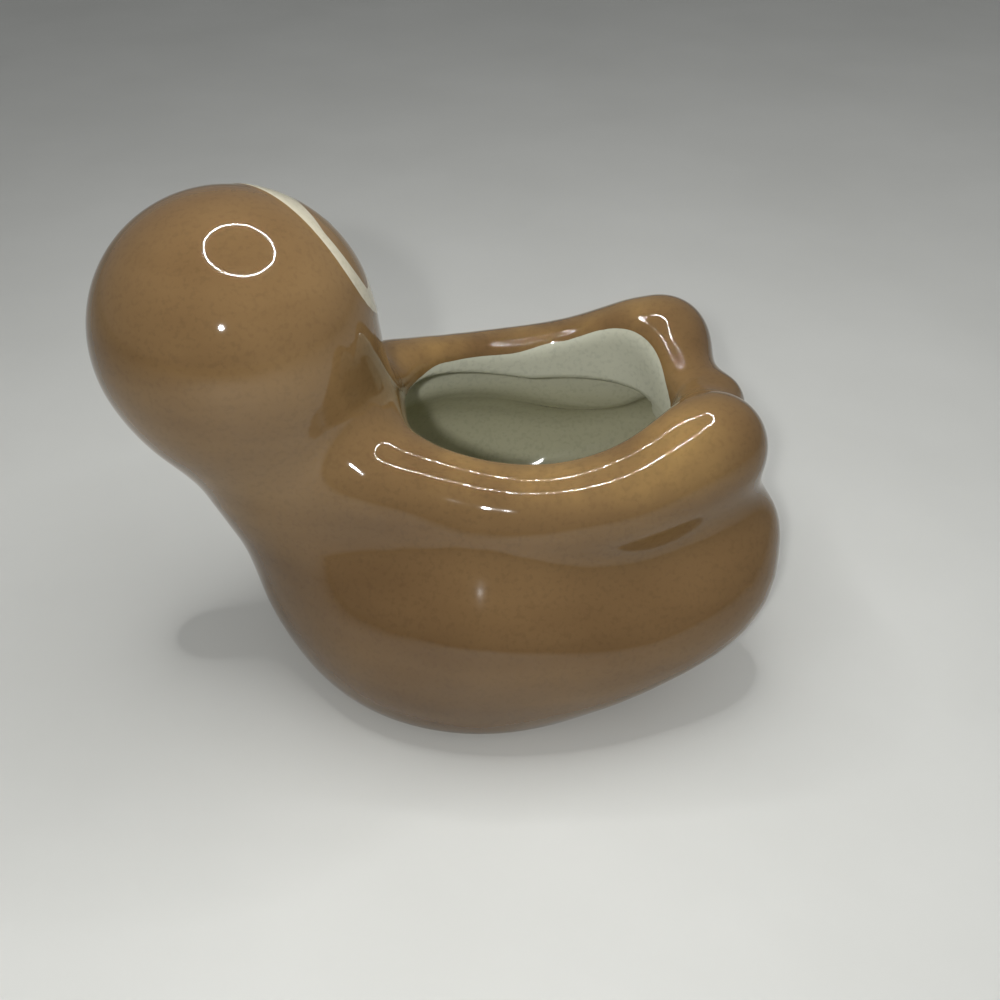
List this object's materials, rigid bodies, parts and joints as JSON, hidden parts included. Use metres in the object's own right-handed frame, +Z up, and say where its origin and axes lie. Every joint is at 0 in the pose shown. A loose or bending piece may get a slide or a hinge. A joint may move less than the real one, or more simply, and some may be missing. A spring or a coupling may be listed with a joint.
{
  "type": "animal shaped planter",
  "caption": "Glazed ceramic planter in the form of an animal lying on its back, with a hollow belly open at the top between its arms for soil and a small plant.",
  "frame": {"origin": "middle of the flat foot that it stands on", "axes": "+Z up, +X from the head towards the feet, +Y to the animal's left"},
  "size_m": [0.1409, 0.1028, 0.11],
  "materials": {
    "brown_glaze": "glossy brown glaze with faint streaks",
    "pale_glaze": "glossy pale grey-green glaze",
    "white_glaze": "glossy off-white glaze",
    "patch_glaze": "glossy brown glaze like that of the head",
    "dark_glaze": "glossy black-brown glaze",
    "bare_clay": "bare fired clay, matt"
  },
  "bodies": {
    "root": {"pot_body": "brown_glaze", "base_foot": "bare_clay", "inner_glaze": "pale_glaze", "head_shell": "brown_glaze", "left_arm": "brown_glaze", "right_arm": "brown_glaze", "left_leg": "brown_glaze", "right_leg": "brown_glaze", "face_patch": "white_glaze", "left_eye_patch": "patch_glaze", "right_eye_patch": "patch_glaze", "left_eye": "dark_glaze", "right_eye": "dark_glaze", "nose": "dark_glaze", "smile": "dark_glaze"}
  },
  "joints": []
}
